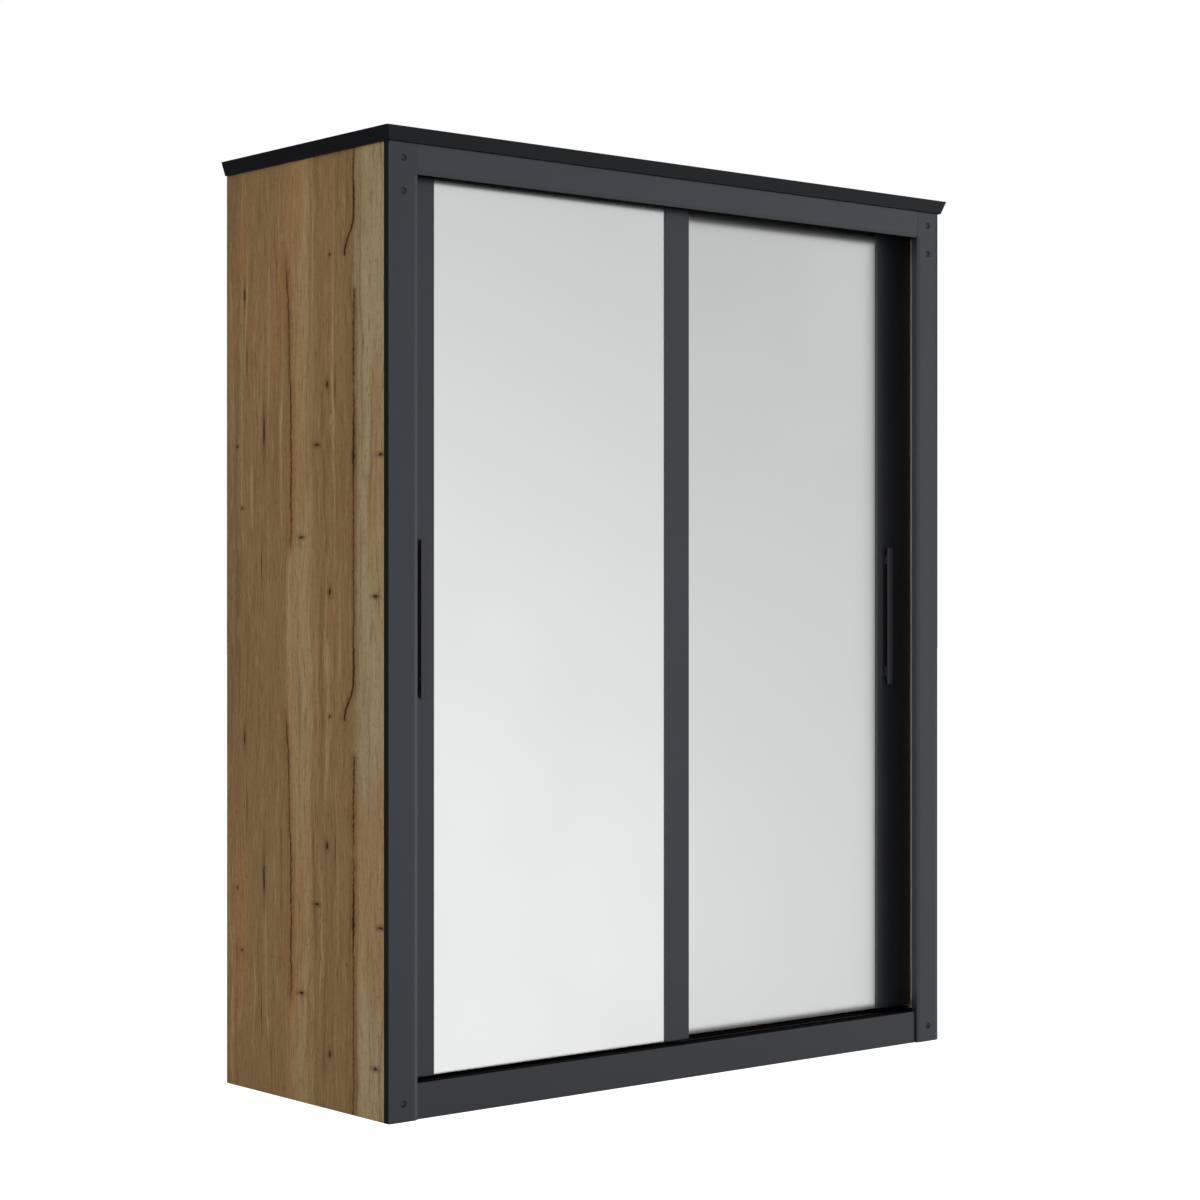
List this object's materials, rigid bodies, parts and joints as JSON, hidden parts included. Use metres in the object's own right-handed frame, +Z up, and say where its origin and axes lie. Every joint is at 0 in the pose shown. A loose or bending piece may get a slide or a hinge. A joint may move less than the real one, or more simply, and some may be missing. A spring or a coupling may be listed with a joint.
{
  "type": "sliding door wardrobe",
  "caption": "Tall wardrobe with mirrored doors that slide past each other on separate tracks, in a dark flat frame with oak sides and a leaning cornice.",
  "frame": {"origin": "on the floor, at the middle of the bounding box's underside", "axes": "+X to the right as seen from the front, +Y to the back, +Z up"},
  "size_m": [1.717, 0.65, 2.1],
  "materials": {
    "oak": "matt rustic oak laminate with upright planks, knots and cracks",
    "graphite": "satin graphite laminated board",
    "screw_graphite": "satin graphite paint",
    "door_backing": "matt dark grey backing board",
    "back_board": "matt pale grey hardboard",
    "mirror": "clear silvered mirror",
    "handle_metal": "satin black powder coat",
    "aluminium": "black anodised extrusion",
    "steel": "bright nickel-plated steel",
    "nylon": "black nylon",
    "black_plastic": "matt black plastic"
  },
  "bodies": {
    "carcass": {"left_side_panel": "oak", "right_side_panel": "oak", "top_panel": "oak", "bottom_panel": "oak", "mid_support": "oak", "centre_partition": "oak", "hat_shelf": "oak", "shelf_lower": "oak", "shelf_middle": "oak", "shelf_upper": "oak", "left_front_post": "graphite", "right_front_post": "graphite", "left_post_batten": "graphite", "right_post_batten": "graphite", "header_rail": "graphite", "plinth_rail": "graphite", "cornice_front": "graphite", "cornice_left": "graphite", "cornice_right": "graphite", "left_post_screw_lower": "screw_graphite", "left_post_screw_middle": "screw_graphite", "left_post_screw_upper": "screw_graphite", "right_post_screw_lower": "screw_graphite", "right_post_screw_middle": "screw_graphite", "right_post_screw_upper": "screw_graphite", "left_back_panel": "back_board", "right_back_panel": "back_board", "clothes_rail": "steel", "rail_socket_left": "steel", "rail_socket_right": "steel", "bottom_track": "aluminium", "top_track": "aluminium", "left_track_stop": "black_plastic", "right_track_stop": "black_plastic"},
    "left_door": {"left_door_core": "door_backing", "left_door_outer_stile": "graphite", "left_door_inner_stile": "graphite", "left_door_mirror": "mirror", "left_door_handle": "handle_metal", "left_door_outer_roller_housing": "black_plastic", "left_door_outer_roller_axle": "steel", "left_door_outer_top_guide": "black_plastic", "left_door_inner_roller_housing": "black_plastic", "left_door_inner_roller_axle": "steel", "left_door_inner_top_guide": "black_plastic"},
    "left_outer_wheel": {"left_door_outer_roller_wheel": "nylon"},
    "left_inner_wheel": {"left_door_inner_roller_wheel": "nylon"},
    "right_door": {"right_door_core": "door_backing", "right_door_outer_stile": "graphite", "right_door_inner_stile": "graphite", "right_door_mirror": "mirror", "right_door_handle": "handle_metal", "right_door_outer_roller_housing": "black_plastic", "right_door_outer_roller_axle": "steel", "right_door_outer_top_guide": "black_plastic", "right_door_inner_roller_housing": "black_plastic", "right_door_inner_roller_axle": "steel", "right_door_inner_top_guide": "black_plastic"},
    "right_outer_wheel": {"right_door_outer_roller_wheel": "nylon"},
    "right_inner_wheel": {"right_door_inner_roller_wheel": "nylon"}
  },
  "joints": [
    {"name": "left_door_slide", "type": "slide", "parent": "carcass", "child": "left_door", "axis": [1, 0, 0], "range_m": [0, 0.782]},
    {"name": "left_outer_wheel_spin", "type": "hinge", "parent": "left_door", "child": "left_outer_wheel", "pos_m": [-0.747, -0.26, 0.0877], "axis": [0, 1, 0], "continuous": true},
    {"name": "left_inner_wheel_spin", "type": "hinge", "parent": "left_door", "child": "left_inner_wheel", "pos_m": [-0.035, -0.26, 0.0877], "axis": [0, 1, 0], "continuous": true},
    {"name": "right_door_slide", "type": "slide", "parent": "carcass", "child": "right_door", "axis": [1, 0, 0], "range_m": [-0.782, 0]},
    {"name": "right_outer_wheel_spin", "type": "hinge", "parent": "right_door", "child": "right_outer_wheel", "pos_m": [0.747, -0.223, 0.0877], "axis": [0, 1, 0], "continuous": true},
    {"name": "right_inner_wheel_spin", "type": "hinge", "parent": "right_door", "child": "right_inner_wheel", "pos_m": [0.035, -0.223, 0.0877], "axis": [0, 1, 0], "continuous": true}
  ],
  "couplings": [
    {"joint": "left_outer_wheel_spin", "follows": "left_door_slide", "rad_per_m": 95.238},
    {"joint": "left_inner_wheel_spin", "follows": "left_door_slide", "rad_per_m": 95.238},
    {"joint": "right_outer_wheel_spin", "follows": "right_door_slide", "rad_per_m": 95.238},
    {"joint": "right_inner_wheel_spin", "follows": "right_door_slide", "rad_per_m": 95.238}
  ]
}
